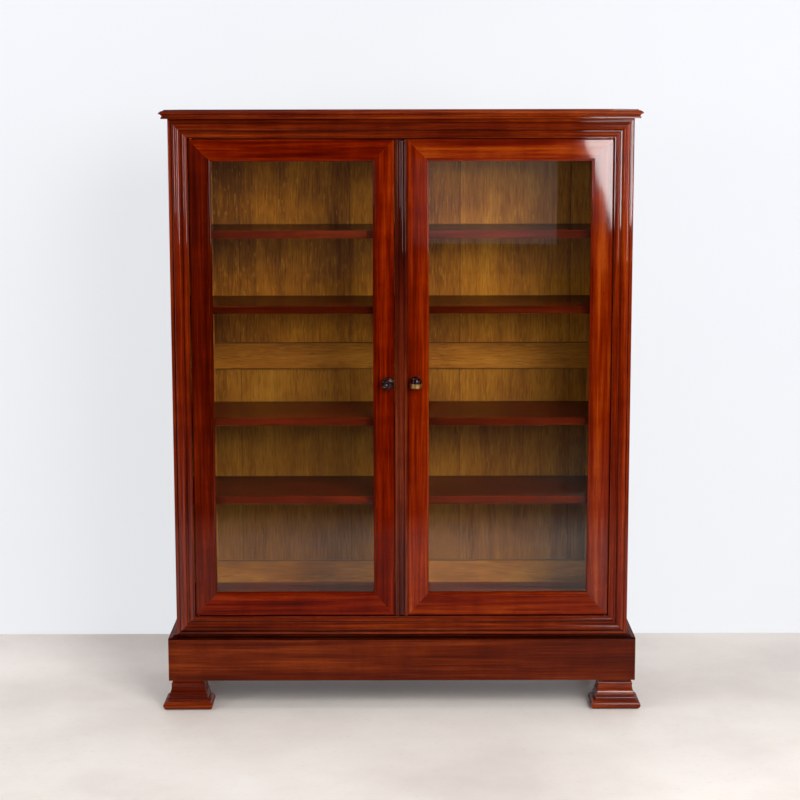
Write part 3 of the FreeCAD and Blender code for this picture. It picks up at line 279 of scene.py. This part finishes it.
def oak(name, tones, grain, seed, boards=0.0, first_joint=0.0, trend=0.0, height=0.0):
    """Waxed oak: growth lines, pores and flecks.

    With boards, joints that far apart across a panel; with height, a rail that high, darker along its top
    and bottom edges.
    """
    net = Net(name)
    place = net.place(along(grain, *GROWTH_LINE), seed)
    joint = 0.0
    shift = 0.0
    if boards:
        coordinates = net.add("TexCoord")
        parts = net.add("SeparateXYZ")
        net.feed(parts.inputs[0], coordinates.outputs["Object"])
        across = net.math("DIVIDE", net.math("SUBTRACT", parts.outputs["X"], first_joint), boards)
        number = net.math("FLOOR", across)
        within = net.math("ABSOLUTE", net.math("SUBTRACT", net.math("FRACT", across), 0.5))
        joint = net.spread(within, 0.5 - JOINT_REACH / boards, 0.5)
        shift = net.share(net.math("SINE", net.share(number, BOARD_STEP)), BOARD_SHADE)
        shift = net.math("ADD", shift, net.share(number, trend))
        moved = net.add("CombineXYZ")
        net.feed(moved.inputs["Z"], net.share(number, BOARD_SHIFT))
        add = net.add("VectorMath", operation="ADD")
        net.feed(add.inputs[0], place)
        net.feed(add.inputs[1], moved.outputs[0])
        place = add.outputs[0]
    broad = net.noise(place, detail=5, roughness=0.6, distortion=0.8)
    cloud = net.noise(net.place((5, 5, 5), seed + 6), detail=3)
    fine = net.noise(net.place(along(grain, *OAK_LINE), seed + 1), detail=4, roughness=0.75)
    tone = net.total((broad, fine, cloud), OAK_WEIGHTS)
    if boards:
        tone = net.math("ADD", tone, shift)
    wood = net.ramp(tone, list(zip(OAK_STOPS, tones)))
    flecks = net.noise(net.place(along(grain, *FLECK), seed + 2), detail=1)
    wood = net.mix(net.share(net.spread(flecks, 0.62, 0.72), 0.35), wood, tones[3])
    pores = net.noise(net.place(along(grain, *OAK_PORE), seed + 3), detail=3)
    pore_mask = net.spread(pores, 0.55, 0.64)
    wood = net.mix(net.share(pore_mask, PORE_DARKNESS), wood, tones[0])
    if boards:
        wood = net.mix(net.share(joint, 0.75), wood, JOINT_TONE)
    # Darker bands along the rail's top and bottom edges.
    if height:
        parts = net.add("SeparateXYZ")
        net.feed(parts.inputs[0], net.add("TexCoord").outputs["Generated"])
        edge = net.math("PINGPONG", parts.outputs["Z"], 0.5)
        edge_band = net.spread(edge, RAIL_EDGE_REACH / height, RAIL_EDGE_CORE * RAIL_EDGE_REACH / height)
        wood = net.mix(net.share(edge_band, 0.8), wood, RAIL_EDGE_TONE)
    relief = net.math("SUBTRACT", fine, pore_mask)
    if boards:
        relief = net.math("SUBTRACT", relief, net.share(joint, 3.0))
    net.set(
        Base_Color=wood,
        Roughness=net.spread(cloud, 0.3, 0.7, 0.5, 0.68),
        Normal=net.bump(relief, 0.25, 0.5 * MM),
        Specular_IOR_Level=0.08,
    )
    return net.material


# Metals, dark wood and glass -------------------------------------------------------------------------

# Tones with their places on the ramp, and the tone of rubbed edges.
EBONISED_TONES = [(0.35, srgb(20, 2, 3)), (0.6, srgb(34, 4, 5)), (0.75, srgb(56, 11, 9))]
EBONISED_RUBBED = srgb(92, 48, 32)
BRASS_TONES = [(0.3, srgb(120, 84, 44)), (0.52, srgb(176, 132, 76)), (0.72, srgb(212, 172, 112))]
BRASS_RUBBED = srgb(236, 202, 146)
STEEL_TONES = [(0.3, srgb(70, 52, 42)), (0.5, srgb(104, 98, 92)), (0.7, srgb(142, 138, 132))]
STEEL_RUBBED = srgb(196, 192, 186)
GLASS_TINT = (0.96, 0.985, 0.975, 1.0)
GLASS_SHADOW = (0.93, 0.95, 0.94, 1.0)


def ebonised(name, seed):
    """Wood stained nearly black, polished, with a trace of brown along the grain and rubbed edges."""
    net = Net(name)
    grain = net.noise(net.place((60, 60, 400), seed), detail=4, roughness=0.6)
    body = net.ramp(grain, EBONISED_TONES)
    paler_edges = net.share(net.paler_edges(0.8 * MM, 120, seed), PALE_EDGE_STRENGTH)
    net.set(
        Base_Color=net.mix(paler_edges, body, EBONISED_RUBBED),
        Roughness=net.spread(grain, 0.3, 0.7, 0.22, 0.34),
        Normal=net.bump(grain, 0.06, 0.3 * MM),
        Specular_IOR_Level=0.0,
        Coat_Weight=0.42,
        Coat_Roughness=0.04,
        Coat_IOR=1.5,
    )
    return net.material


def brass(name, seed):
    """Old brass: dull gold with browner patches, brighter rubbed edges and fine marks."""
    net = Net(name)
    tarnish = net.noise(net.place((90, 90, 90), seed), detail=5, roughness=0.6)
    colour = net.ramp(tarnish, BRASS_TONES)
    marks = net.noise(net.place((300, 300, 4000), seed + 1), detail=2)
    net.set(
        Base_Color=net.mix(net.share(net.edges(0.5 * MM), 0.5), colour, BRASS_RUBBED),
        Metallic=1.0,
        Roughness=net.spread(tarnish, 0.3, 0.7, 0.42, 0.26),
        Normal=net.bump(marks, 0.08, 0.1 * MM),
    )
    return net.material


def steel(name, seed):
    """Old steel: grey with brown patches, brighter rubbed edges and fine scratches."""
    net = Net(name)
    cloud = net.noise(net.place((70, 70, 70), seed), detail=5, roughness=0.65)
    body = net.ramp(cloud, STEEL_TONES)
    marks = net.noise(net.place((60, 2000, 2000), seed + 1), detail=2)
    net.set(
        Base_Color=net.mix(net.share(net.edges(0.6 * MM), 0.6), body, STEEL_RUBBED),
        Metallic=1.0,
        Roughness=net.spread(cloud, 0.3, 0.7, 0.5, 0.34),
        Normal=net.bump(marks, 0.1, 0.1 * MM),
    )
    return net.material


def pane(name, seed):
    """Old drawn window glass, faintly green and wavy, that lets the lamps light what is behind it."""
    net = Net(name)
    wave = net.noise(net.place((3, 3, 9), seed), detail=2)
    dust = net.noise(net.place((40, 40, 40), seed + 1), detail=4)
    net.set(
        Base_Color=GLASS_TINT,
        Roughness=net.spread(dust, 0.5, 0.8, 0.0, 0.03),
        Normal=net.bump(wave, 0.06, 1.0 * MM),
        Transmission_Weight=1.0,
        IOR=1.33,
    )
    path = net.add("LightPath")
    clear = net.add("BsdfTransparent")
    clear.inputs[0].default_value = GLASS_SHADOW
    through = net.add("MixShader")
    net.feed(through.inputs[0], path.outputs["Is Shadow Ray"])
    net.feed(through.inputs[1], net.shader.outputs[0])
    net.feed(through.inputs[2], clear.outputs[0])
    net.feed(net.surface, through.outputs[0])
    return net.material


# Pieces of the CAD model -----------------------------------------------------------------------------

# Each wooden node: the kind of board, its tones and the axis its grain follows.
BOARDS = {
    "cornice": (mahogany, RED_BROWN, "X"),
    "frame_head": (mahogany, RED_BROWN, "X"),
    "frame_sill": (mahogany, RED_BROWN, "X"),
    "frame_left": (mahogany, BRIGHT_RED, "Z"),
    "frame_right": (mahogany, BRIGHT_RED, "Z"),
    "side_left": (mahogany, RED_BROWN, "Z"),
    "side_right": (mahogany, RED_BROWN, "Z"),
    "floor_board": (mahogany, RED_BROWN, "X"),
    "ceiling_board": (mahogany, RED_BROWN, "X"),
    "plinth_front": (mahogany, PLINTH_BROWN, "X"),
    "plinth_left": (mahogany, PLINTH_BROWN, "Y"),
    "plinth_right": (mahogany, PLINTH_BROWN, "Y"),
    "ledge_front": (mahogany, SHADOWED_LEDGE_BROWN, "X"),
    "ledge_left": (mahogany, RED_BROWN, "Y"),
    "ledge_right": (mahogany, RED_BROWN, "Y"),
    "foot_front_left": (mahogany, RED_BROWN, "X"),
    "foot_front_right": (mahogany, RED_BROWN, "X"),
    "foot_back_left": (mahogany, RED_BROWN, "X"),
    "foot_back_right": (mahogany, RED_BROWN, "X"),
    "shelf_1": (mahogany, SHADED_SHELF_RED, "X"),
    "shelf_2": (mahogany, SHADED_SHELF_RED, "X"),
    "shelf_3": (mahogany, SHADED_LOW_SHELF_RED, "X"),
    "shelf_4": (mahogany, SHADED_LOW_SHELF_RED, "X"),
    "rack_front_left": (mahogany, RED_BROWN, "Z"),
    "rack_back_left": (mahogany, RED_BROWN, "Z"),
    "rack_front_right": (mahogany, RED_BROWN, "Z"),
    "rack_back_right": (mahogany, RED_BROWN, "Z"),
    "cleats_left": (mahogany, RED_BROWN, "Y"),
    "cleats_right": (mahogany, RED_BROWN, "Y"),
    "left_door_top_rail": (mahogany, CLEAR_RED, "X"),
    "left_door_bottom_rail": (mahogany, CLEAR_RED, "X"),
    "left_door_hanging_stile": (mahogany, DEEP_RED, "Z"),
    "left_door_meeting_stile": (mahogany, CLEAR_RED, "Z"),
    "left_door_glazing_beads": (mahogany, DEEP_RED, "Z"),
    "right_door_top_rail": (mahogany, ORANGE_RED, "X"),
    "right_door_bottom_rail": (mahogany, ORANGE_RED, "X"),
    "right_door_hanging_stile": (mahogany, ORANGE_RED, "Z"),
    "right_door_meeting_stile": (mahogany, FLAME_RED, "Z"),
    "right_door_glazing_beads": (mahogany, ORANGE_RED, "Z"),
    "astragal": (mahogany, DARK_RED, "Z"),
    "back_stile_left": (oak, OAK, "Z"),
    "back_stile_right": (oak, OAK, "Z"),
    "back_rail_top": (oak, OAK_RAIL, "X"),
    "back_rail_middle": (oak, OAK_RAIL, "X"),
    "back_rail_bottom": (oak, OAK_RAIL_LOW, "X"),
    "back_panel_upper": (oak, OAK, "Z"),
    "back_panel_lower": (oak, SHADED_OAK_LOW, "Z"),
}
# The panels of the back: how wide their boards are, where one joint is along X, and how the tone drifts
# from each board to the next.
BOARD_WIDTH = 0.31
BOARD_JOINT = 0.166
# On the lower panel the drift darkens each board to the right of the last, as painted shade.
BOARD_TREND = {"back_panel_upper": 0.0, "back_panel_lower": -0.035}
FITTINGS = {
    "left_door_pivots": brass,
    "right_door_pivots": brass,
    "turn_knob_ferrule": brass,
    "lock_case": steel,
    "lock_bolt": steel,
    "lock_keeper": steel,
    "upper_bolt": steel,
    "lower_bolt": steel,
    "left_bolt_guides": steel,
    "left_knob": ebonised,
    "turn_knob_dome": ebonised,
    "left_door_glass": pane,
    "right_door_glass": pane,
}
SOFTENED_EDGE = 0.5 * MM
WELD_REACH = 0.01 * MM
SHARP_ANGLE = math.radians(35)
BOARD_SEED = 1.37
FITTING_SEED = 2.11
# The polish of mahogany nodes, by how the name begins; the others have PLAIN_POLISH.
POLISH = {
    "frame_left": 0.7,
    "frame_right": 0.34,
    "frame_head": 0.1,
    "frame_sill": 0.3,
    "astragal": 0.4,
    "foot": 0.3,
    "cornice": 0.25,
    "ledge_front": 0.05,
    "shelf": 0.4,
    "right_door_hanging_stile": 0.5,
    "right_door_top_rail": 0.45,
    "right_door_meeting_stile": 0.4,
    "left_door_hanging_stile": 0.35,
}
PLAIN_POLISH = 0.16


def finish_node(node, material):
    node.data.materials.clear()
    node.data.materials.append(material)


def soften(node, width):
    """Rounds the node's sharp edges a little, as a scraper and polish do."""
    weld = node.modifiers.new("weld", "WELD")
    weld.merge_threshold = WELD_REACH
    bevel = node.modifiers.new("soft_edges", "BEVEL")
    bevel.width = width
    bevel.segments = 2
    bevel.limit_method = "ANGLE"
    bevel.angle_limit = SHARP_ANGLE
    node.modifiers.new("shading", "WEIGHTED_NORMAL")


def board_extras(name, kind):
    """What the finish of this wooden node has besides its tones and grain."""
    if kind is mahogany:
        weights = (weight for start, weight in POLISH.items() if name.startswith(start))
        return {"polish": next(weights, PLAIN_POLISH)}
    if name in BOARD_TREND:
        return {"boards": BOARD_WIDTH, "first_joint": BOARD_JOINT, "trend": BOARD_TREND[name]}
    if name.startswith("back_rail"):
        low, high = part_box(name)
        return {"height": high.z - low.z}
    return {}


def dress_boards():
    for seed, (name, (kind, tones, grain)) in enumerate(BOARDS.items(), 1):
        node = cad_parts[name]
        finish = kind(name + "_finish", tones, grain, seed * BOARD_SEED, **board_extras(name, kind))
        finish_node(node, finish)
        soften(node, SOFTENED_EDGE)


def dress_fittings():
    for seed, (name, kind) in enumerate(FITTINGS.items(), 1):
        finish_node(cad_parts[name], kind(name + "_finish", seed * FITTING_SEED))


# Turned pieces ---------------------------------------------------------------------------------------

ROUND_STEPS = 72
CREASE = math.radians(40)
# A point of a profile that is nearer the axis than this, in millimetres, is a pole and not a ring.
POLE_RADIUS = 1e-6
PULL_KNOB_SEED = 3.0
TURN_KNOB_SEED = 5.0


def curve(centre_radius, centre_height, reach, rise, start, end, steps=10):
    """(radius, height) points along an elliptical arc, its angles in degrees from outwards to upwards."""
    angles = [math.radians(start + (end - start) * step / steps) for step in range(steps + 1)]
    return [(centre_radius + reach * math.cos(a), centre_height + rise * math.sin(a)) for a in angles]


def turned(name, profile, place, axis, material):
    """A piece turned from (radius, height) points in millimetres, standing at place along axis."""
    build = bmesh.new()
    turns = [2 * math.pi * step / ROUND_STEPS for step in range(ROUND_STEPS)]
    rings = []
    for radius, height in profile:
        if radius < POLE_RADIUS:
            rings.append([build.verts.new((0, 0, height * MM))])
            continue
        points = [(radius * MM * math.cos(t), radius * MM * math.sin(t), height * MM) for t in turns]
        rings.append([build.verts.new(point) for point in points])
    for low, high in zip(rings, rings[1:]):
        for step in range(ROUND_STEPS):
            after = (step + 1) % ROUND_STEPS
            around = ((low, step), (low, after), (high, after), (high, step))
            # Next to a pole two of the four corners are the same, which leaves a triangle.
            corners = [ring[point % len(ring)] for ring, point in around]
            build.faces.new(list(dict.fromkeys(corners)))
    bmesh.ops.recalc_face_normals(build, faces=build.faces)
    for face in build.faces:
        face.smooth = True
    for edge in build.edges:
        edge.smooth = edge.calc_face_angle(0.0) < CREASE
    mesh = bpy.data.meshes.new(name)
    build.to_mesh(mesh)
    build.free()
    mesh.materials.append(material)
    piece = bpy.data.objects.new(name, mesh)
    turn = Vector(axis).to_track_quat("Z", "Y").to_matrix().to_4x4()
    piece.matrix_world = Matrix.Translation(place) @ turn
    bpy.context.scene.collection.objects.link(piece)
    return piece


def pull_knob():
    """The left door's knob: a rose, a waisted neck, and a round rim about a dished face."""
    low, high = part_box("left_knob")
    face_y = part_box("left_door_meeting_stile")[0].y
    stem = [(0, -20), (5, -20), (5, 0), (11.6, 0)]
    rose = curve(10.6, 1.5, 1.4, 1.5, -60, 90)
    neck = curve(12.6, 10.5, 5.4, 8.0, 240, 130)
    rim = curve(13.2, 21.5, 4.3, 5.5, -80, 110, 16)
    dish = curve(0, 33.0, 11.8, 9.5, -30, -90, 12)[1:]
    profile = stem + rose + neck + rim + dish
    place = ((low.x + high.x) / 2, face_y, (low.z + high.z) / 2)
    finish = ebonised("left_pull_knob_finish", PULL_KNOB_SEED)
    knob = turned("left_pull_knob", profile, place, (0, -1, 0), finish)
    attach(knob, "left_door")
    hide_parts("left_knob")


def turn_knob():
    """The right door's turn knob: a dark dome over the two brass rings of its ferrule."""
    low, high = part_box("turn_knob_dome")
    place = ((low.x + high.x) / 2, (low.y + high.y) / 2, low.z)
    base = [(0, 0), (15.0, 0), (15.5, 0.6), (15.5, 2.4)]
    crown = curve(0, 2.4, 15.5, 16.0, 0, 90, 18)[1:]
    finish = ebonised("turn_knob_cap_finish", TURN_KNOB_SEED)
    dome = turned("turn_knob_cap", base + crown, place, (0, 0, 1), finish)
    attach(dome, "turn_knob")
    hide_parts("turn_knob_dome")


# Lath on the astragal --------------------------------------------------------------------------------

# The lath's distance from the left door, its lap behind the astragal, its thickness, and how far it
# stops short of each end of the astragal.
STRIP_CLEARANCE = 0.5 * MM
STRIP_LAP = 3.0 * MM
STRIP_THICKNESS = 1.2 * MM
STRIP_END = 1.0 * MM
STRIP_EDGE = 0.2 * MM
STRIP_SEED = 61.0


def closing_strip():
    """A thin lath on the astragal's back that covers most of its gap to the left door."""
    low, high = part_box("astragal")
    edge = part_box("left_door_meeting_stile")[1].x + STRIP_CLEARANCE
    size = Vector((low.x + STRIP_LAP - edge, STRIP_THICKNESS, high.z - low.z - 2 * STRIP_END))
    centre = Vector((edge + size.x / 2, high.y + size.y / 2, (low.z + high.z) / 2))
    build = bmesh.new()
    bmesh.ops.create_cube(build, matrix=Matrix.Translation(centre) @ Matrix.Diagonal((*size, 1.0)))
    bmesh.ops.bevel(build, geom=build.edges[:], offset=STRIP_EDGE, segments=2, affect="EDGES")
    mesh = bpy.data.meshes.new("closing_strip")
    build.to_mesh(mesh)
    build.free()
    mesh.materials.append(mahogany("closing_strip_finish", DEEP_RED, "Z", STRIP_SEED, PLAIN_POLISH))
    strip = bpy.data.objects.new("closing_strip", mesh)
    bpy.context.scene.collection.objects.link(strip)
    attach(strip, "right_door")


# Stage, lamps and camera -----------------------------------------------------------------------------

WALL_Y = 0.578
PALE_FLOOR_END = -2.2
PALE_FLOOR_FADE = 0.5
STAGE_REACH = 14.0
WALL_HEIGHT = 6.0
# How much of the wall's white is its own, so that the bookcase's shadow on it stays faint.
WALL_EVENNESS = 0.75
WALL_TONES = [(0.35, srgb(226, 229, 236)), (0.65, srgb(233, 235, 240))]
WALL_WHITE = srgb(242, 244, 248)
FLOOR_TONES = [(0.35, srgb(212, 203, 196)), (0.5, srgb(224, 216, 209)), (0.68, srgb(234, 227, 221))]
GRIT = srgb(150, 142, 134)
DARK_FLOOR = srgb(72, 66, 60)


def flat_piece(name, corners, material):
    mesh = bpy.data.meshes.new(name)
    build = bmesh.new()
    build.faces.new([build.verts.new(corner) for corner in corners])
    build.to_mesh(mesh)
    build.free()
    mesh.materials.append(material)
    piece = bpy.data.objects.new(name, mesh)
    bpy.context.scene.collection.objects.link(piece)


def floor_finish():
    """A pale floor that ends some way in front of the bookcase, where a darker one begins."""
    net = Net("floor_finish")
    cloud = net.noise(net.place((1.3, 1.3, 1.3), 2.0), detail=6, roughness=0.6)
    grit = net.noise(net.place((60, 60, 60), 4.0), detail=3)
    base = net.ramp(cloud, FLOOR_TONES)
    parts = net.add("SeparateXYZ")
    net.feed(parts.inputs[0], net.add("TexCoord").outputs["Object"])
    beyond = net.spread(parts.outputs["Y"], PALE_FLOOR_END, PALE_FLOOR_END - PALE_FLOOR_FADE)
    pale = net.mix(net.spread(grit, 0.6, 0.75, 0.0, 0.12), base, GRIT)
    net.set(
        Base_Color=net.mix(beyond, pale, DARK_FLOOR),
        Roughness=net.spread(cloud, 0.3, 0.7, 0.42, 0.6),
        Specular_IOR_Level=0.3,
    )
    return net.material


def wall_finish():
    """A pale wall that isn't there from behind, so that the back of the bookcase can be seen."""
    net = Net("wall_finish")
    cloud = net.noise(net.place((0.8, 0.8, 0.8), 3.0), detail=4)
    net.set(
        Base_Color=net.ramp(cloud, WALL_TONES),
        Roughness=0.9,
        Specular_IOR_Level=0.0,
    )
    glow = net.add("Emission")
    glow.inputs["Color"].default_value = WALL_WHITE
    path = net.add("LightPath").outputs
    seen = net.math("MAXIMUM", path["Is Camera Ray"], path["Is Glossy Ray"])
    seen = net.math("MAXIMUM", seen, path["Is Transmission Ray"])
    lit = net.add("MixShader")
    net.feed(lit.inputs[0], net.math("MULTIPLY", seen, WALL_EVENNESS))
    net.feed(lit.inputs[1], net.shader.outputs[0])
    net.feed(lit.inputs[2], glow.outputs[0])
    geometry = net.add("NewGeometry")
    through = net.add("MixShader")
    net.feed(through.inputs[0], geometry.outputs["Backfacing"])
    net.feed(through.inputs[1], lit.outputs[0])
    net.feed(through.inputs[2], net.add("BsdfTransparent").outputs[0])
    net.feed(net.surface, through.outputs[0])
    return net.material


def stage():
    left, right, top = -STAGE_REACH, STAGE_REACH, WALL_HEIGHT
    floor = [(left, left, 0), (right, left, 0), (right, right, 0), (left, right, 0)]
    flat_piece("floor", floor, floor_finish())
    wall = [(left, WALL_Y, 0), (right, WALL_Y, 0), (right, WALL_Y, top), (left, WALL_Y, top)]
    flat_piece("wall", wall, wall_finish())


AIM = Vector((0.0, 0.0, 0.9))
WHITE = (1.0, 1.0, 1.0)
WINDOW_BLUE = (0.8, 0.9, 1.0)
ROOM_LIGHT = 0.06
# Each lamp: its place, what it faces, its width and height, radiance, colour and lean in degrees.
LAMPS = {
    "softbox_right": ((1.186, -5.3, 1.308), AIM, (0.31, 0.6), 30, WHITE, 18),
    "softbox_key": ((1.826, -3.734, 2.656), (0.0, 0.0, 1.0), (1.86, 2.4), 13, WHITE, 0),
    "softbox_side": ((2.3, -1.25, 1.3), (-0.6, -0.17, 1.4), (0.6, 0.5), 15, WHITE, 0),
    "studio_window": ((0.46, -5.7, 1.1), (0.3, 0.0, 1.3), (0.8, 0.46), 0.55, WINDOW_BLUE, 0),
    "softbox_left": ((-3.4, -3.2, 1.9), AIM, (0.5, 1.6), 20, WHITE, 0),
    "softbox_fill": ((-2.0, -0.2, 3.2), (-1.9, -0.1, 0.0), (2.0, 1.4), 4, WHITE, 0),
    "ceiling": ((0.0, -1.6, 4.6), (0.0, -1.6, 0.0), (6.0, 4.5), 0.35, WHITE, 0),
    "softbox_back": ((0.0, 4.5, 2.8), AIM, (3.0, 2.0), 11, WHITE, 0),
}


def softbox(name, place, aim, size, radiance, colour, lean):
    """A rectangular soft lamp at place, facing aim, turned by lean about its own axis."""
    lamp = bpy.data.lights.new(name, "AREA")
    lamp.shape = "RECTANGLE"
    lamp.size, lamp.size_y = size
    lamp.energy = radiance * math.pi * size[0] * size[1]
    lamp.color = colour
    holder = bpy.data.objects.new(name, lamp)
    turn = (Vector(aim) - Vector(place)).to_track_quat("-Z", "Y").to_matrix().to_4x4()
    holder.matrix_world = Matrix.Translation(place) @ turn @ Matrix.Rotation(math.radians(lean), 4, "Z")
    bpy.context.scene.collection.objects.link(holder)


def lamps():
    for name, settings in LAMPS.items():
        softbox(name, *settings)
    world = bpy.data.worlds.new("room")
    world.use_nodes = True
    background = world.node_tree.nodes["Background"]
    background.inputs["Color"].default_value = (*WHITE, 1.0)
    background.inputs["Strength"].default_value = ROOM_LIGHT
    bpy.context.scene.world = world


CAMERA_PLACE = (-0.0089, -5.3067, 1.6215)
CAMERA_TILT = math.radians(8.591)
CAMERA_TURN = math.radians(0.057)
CAMERA_ROLL = math.radians(-0.098)
FOCAL_PIXELS = 1953.8
PICTURE_WIDTH = 800
SENSOR_WIDTH = 36.0


def camera():
    lens = bpy.data.cameras.new("camera")
    lens.sensor_width = SENSOR_WIDTH
    lens.lens = FOCAL_PIXELS / PICTURE_WIDTH * lens.sensor_width
    ahead = Vector((
        math.sin(CAMERA_TURN) * math.cos(CAMERA_TILT),
        math.cos(CAMERA_TURN) * math.cos(CAMERA_TILT),
        -math.sin(CAMERA_TILT),
    ))
    level = Vector((math.cos(CAMERA_TURN), -math.sin(CAMERA_TURN), 0.0))
    upright = level.cross(ahead)
    right = level * math.cos(CAMERA_ROLL) + upright * math.sin(CAMERA_ROLL)
    up = right.cross(ahead)
    holder = bpy.data.objects.new("camera", lens)
    turn = Matrix((right, up, -ahead)).transposed().to_4x4()
    holder.matrix_world = Matrix.Translation(CAMERA_PLACE) @ turn
    bpy.context.scene.collection.objects.link(holder)
    bpy.context.scene.camera = holder


dress_boards()
dress_fittings()
pull_knob()
turn_knob()
closing_strip()
stage()
lamps()
camera()
bpy.context.scene.view_settings.view_transform = "Standard"
